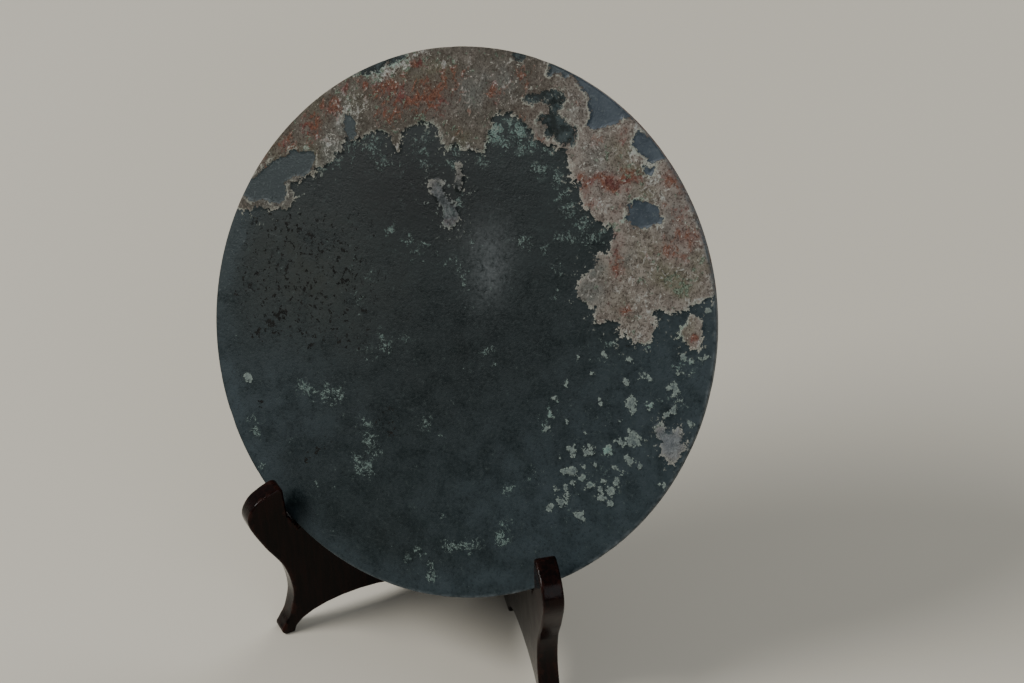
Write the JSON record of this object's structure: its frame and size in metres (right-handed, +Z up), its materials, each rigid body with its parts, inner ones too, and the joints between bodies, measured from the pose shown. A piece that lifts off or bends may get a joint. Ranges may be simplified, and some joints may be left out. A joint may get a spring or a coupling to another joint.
{
  "type": "round bronze mirror on a folding wooden stand",
  "caption": "Thin round bronze mirror with a plain face and a pierced knob behind, leaning in a hinged stand of two fret-sawn dark wooden leaves.",
  "frame": {"origin": "on the table, under the middle of the whole object's box", "axes": "+Z up, +Y towards the back where the stand's hinge is, +X to the right as seen from the front; the mirror's plain face looks along -Y and up"},
  "size_m": [0.22, 0.1162, 0.2364],
  "materials": {
    "bronze": "old cast bronze with a smooth dark green-grey patina, red-brown and pale green crust along the upper edge",
    "dark_wood": "near-black red-brown hardwood, polished to a soft gloss",
    "hinge_brass": "dulled small brass hinge hardware"
  },
  "bodies": {
    "root": {"mirror": "bronze", "stand_leaf_left": "dark_wood", "stand_leaf_right": "dark_wood", "hinge_lower_left": "hinge_brass", "hinge_lower_right": "hinge_brass", "hinge_lower_pin": "hinge_brass", "hinge_upper_left": "hinge_brass", "hinge_upper_right": "hinge_brass", "hinge_upper_pin": "hinge_brass", "screw_left_1": "hinge_brass", "screw_left_2": "hinge_brass", "screw_left_3": "hinge_brass", "screw_left_4": "hinge_brass", "screw_right_1": "hinge_brass", "screw_right_2": "hinge_brass", "screw_right_3": "hinge_brass", "screw_right_4": "hinge_brass"}
  },
  "joints": []
}
